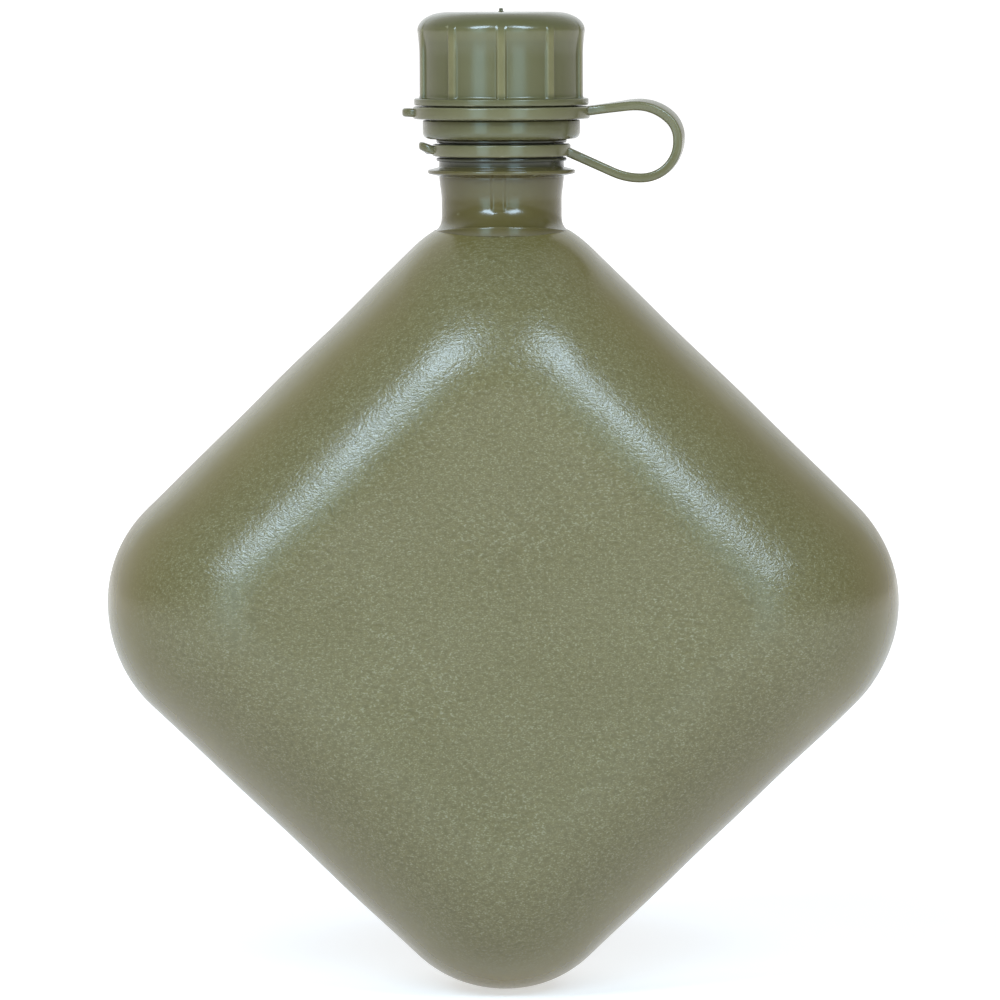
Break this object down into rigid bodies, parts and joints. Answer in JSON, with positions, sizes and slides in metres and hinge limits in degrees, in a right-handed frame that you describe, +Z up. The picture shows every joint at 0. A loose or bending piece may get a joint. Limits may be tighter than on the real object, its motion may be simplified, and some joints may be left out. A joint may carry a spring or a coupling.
{
  "type": "collapsible canteen",
  "caption": "Soft square canteen stood on its corner, with a short threaded neck, ribbed screw cap and a looped keeper strap.",
  "frame": {"origin": "under the middle of the bladder, level with its lowest corner", "axes": "+Z up along the neck, -Y out of the broad front face, +X towards the strap's loop"},
  "size_m": [0.2058, 0.093, 0.2552],
  "materials": {
    "bladder": "pebbled olive soft plastic, satin",
    "fittings": "smooth olive moulded plastic, semi-gloss",
    "strap": "smooth flexible olive plastic, semi-gloss",
    "gasket": "matt black rubber"
  },
  "bodies": {
    "bottle": {"bladder": "bladder", "neck_spout": "fittings"},
    "neck_ring": {"strap_neck_ring": "strap", "strap_band": "strap"},
    "cap_ring": {"strap_cap_ring": "strap"},
    "gasket": {"cap_gasket": "gasket"},
    "cap": {"cap": "fittings"}
  },
  "joints": [
    {"name": "strap_swivel", "type": "hinge", "parent": "bottle", "child": "neck_ring", "pos_m": [0, 0, 0.2185], "axis": [0, 0, 1], "continuous": true},
    {"name": "ring_lift", "type": "slide", "parent": "neck_ring", "child": "cap_ring", "axis": [0, 0, 1], "range_m": [0, 0.0301]},
    {"name": "gasket_lift", "type": "slide", "parent": "bottle", "child": "gasket", "axis": [0, 0, 1], "range_m": [0, 0.0301]},
    {"name": "cap_turn", "type": "hinge", "parent": "gasket", "child": "cap", "pos_m": [0, 0, 0.238], "axis": [0, 0, 1], "range_deg": [0, 1800]}
  ],
  "couplings": [
    {"joint": "ring_lift", "follows": "cap_turn", "m_per_rad": 0.00095493},
    {"joint": "gasket_lift", "follows": "cap_turn", "m_per_rad": 0.00095493}
  ]
}
